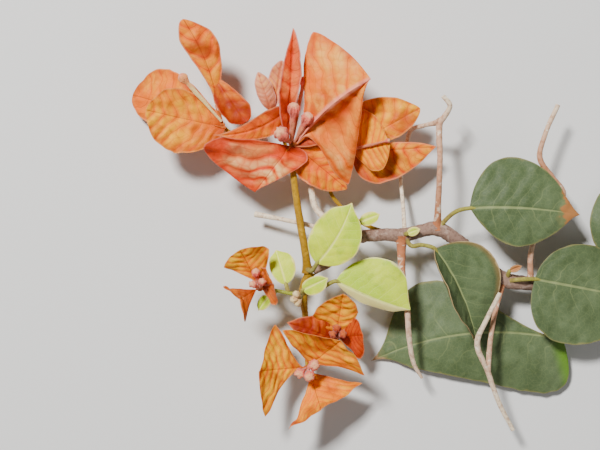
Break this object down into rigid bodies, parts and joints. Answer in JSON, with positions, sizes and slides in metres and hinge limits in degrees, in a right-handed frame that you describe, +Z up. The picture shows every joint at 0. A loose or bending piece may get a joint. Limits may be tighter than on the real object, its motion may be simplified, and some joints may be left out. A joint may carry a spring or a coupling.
{
  "type": "flowering bougainvillea branch",
  "caption": "Cut woody branch lying flat, with pale and dark heart-shaped leaves, dry twigs and orange papery blooms on olive shoots.",
  "frame": {"origin": "middle of the outline that the lying branch covers, on the ground under it", "axes": "+X from the blooms to the cut end, +Y to the upper blooms, +Z up"},
  "size_m": [0.2254, 0.166, 0.0422],
  "materials": {
    "bark": "rough grey-brown bark",
    "green_stem": "olive, slightly downy",
    "dry_twig": "pale, dry and matt",
    "bract": "papery orange, veined",
    "pale_leaf": "soft yellow-green, satin",
    "dark_leaf": "grey-green, satin",
    "young_leaf": "brown, matt",
    "bud": "pale pink, downy"
  },
  "bodies": {
    "root": {"woody_branch": "bark", "shoot_upper": "green_stem", "shoot_lower": "green_stem", "stalk_left": "green_stem", "stalk_low_front": "green_stem", "stalk_low_back": "green_stem", "stalk_top_left": "green_stem", "stalk_top_young": "green_stem", "stalk_top_right": "green_stem", "dry_twig_tall": "dry_twig", "dry_twig_arm": "dry_twig", "dry_twig_hanging": "dry_twig", "dry_twig_short": "dry_twig", "dry_twig_left": "dry_twig", "dry_twig_white": "dry_twig", "dry_twig_forked": "dry_twig", "leaf_pale_upright": "pale_leaf", "leaf_pale_folded": "pale_leaf", "leaf_pale_little": "pale_leaf", "leaf_pale_back": "pale_leaf", "leaf_pale_under": "pale_leaf", "leaf_pale_node": "pale_leaf", "leaf_pale_tiny": "pale_leaf", "leaf_brown_young": "young_leaf", "leaf_dark_top": "dark_leaf", "leaf_dark_hanging": "dark_leaf", "leaf_dark_right": "dark_leaf", "leaf_dark_low": "dark_leaf", "leaf_dark_end": "dark_leaf", "bloom_top_left": "bract", "bloom_top_middle": "bract", "bloom_top_right": "bract", "bloom_top_young": "bract", "bloom_left": "bract", "bloom_low_front": "bract", "bloom_low_back": "bract", "bud_cluster": "bud"}
  },
  "joints": []
}
